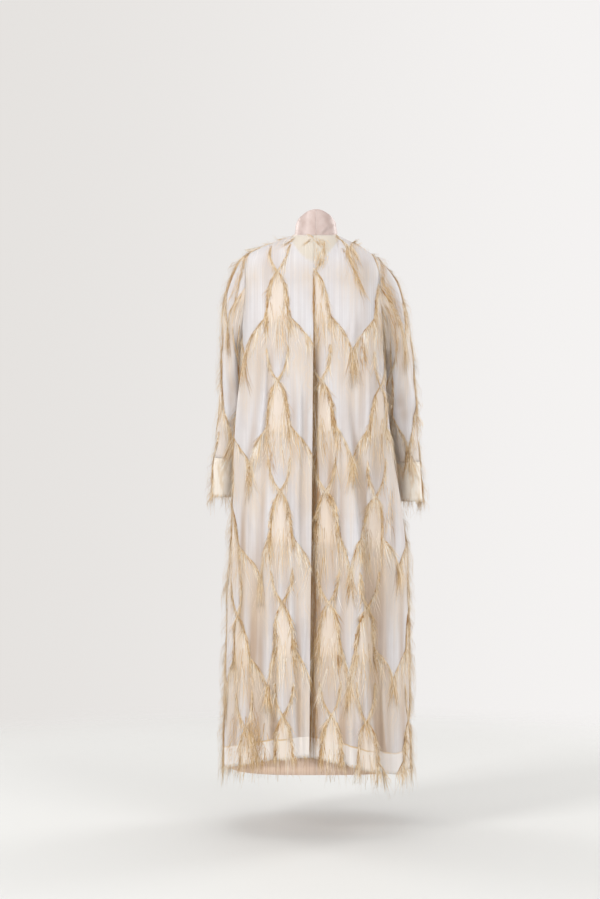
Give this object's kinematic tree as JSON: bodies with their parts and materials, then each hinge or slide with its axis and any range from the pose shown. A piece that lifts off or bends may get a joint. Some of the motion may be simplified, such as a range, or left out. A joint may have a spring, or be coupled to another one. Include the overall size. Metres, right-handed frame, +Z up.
{
  "type": "abaya",
  "caption": "Open, full-length robe of sheer fringed organza over a plain lining, with a stand collar, dropped sleeves and a centre back pleat, in its hollow worn form.",
  "frame": {"origin": "centre of the neck seam, where the wearer carries the garment", "axes": "+Z up, the front faces -Y, +X to the wearer's left"},
  "size_m": [0.559, 0.4122, 1.4991],
  "materials": {
    "organza": "sheer crisp organza with an ogee pattern of clipped thread",
    "hem_cloth": "double organza",
    "collar_satin": "pale pink satin",
    "facing_cloth": "fused organza",
    "lining_cloth": "matt pink-beige lining",
    "thread_fringe": "silky gold-beige thread"
  },
  "bodies": {
    "root": {"back_left": "organza", "back_right": "organza", "front_left": "organza", "front_right": "organza", "sleeve_left": "organza", "sleeve_right": "organza", "cuff_left": "hem_cloth", "cuff_right": "hem_cloth", "hem_back_left": "hem_cloth", "hem_back_right": "hem_cloth", "hem_front_left": "hem_cloth", "hem_front_right": "hem_cloth", "collar_left": "collar_satin", "collar_right": "collar_satin", "neck_facing": "facing_cloth", "lining_back_left": "lining_cloth", "lining_back_right": "lining_cloth", "lining_front_left": "lining_cloth", "lining_front_right": "lining_cloth", "lining_hem_back_left": "lining_cloth", "lining_hem_back_right": "lining_cloth", "lining_hem_front_left": "lining_cloth", "lining_hem_front_right": "lining_cloth", "fringe_back_left": "thread_fringe", "fringe_back_right": "thread_fringe", "fringe_front_left": "thread_fringe", "fringe_front_right": "thread_fringe", "fringe_cuff_left": "thread_fringe", "fringe_cuff_right": "thread_fringe"}
  },
  "joints": []
}
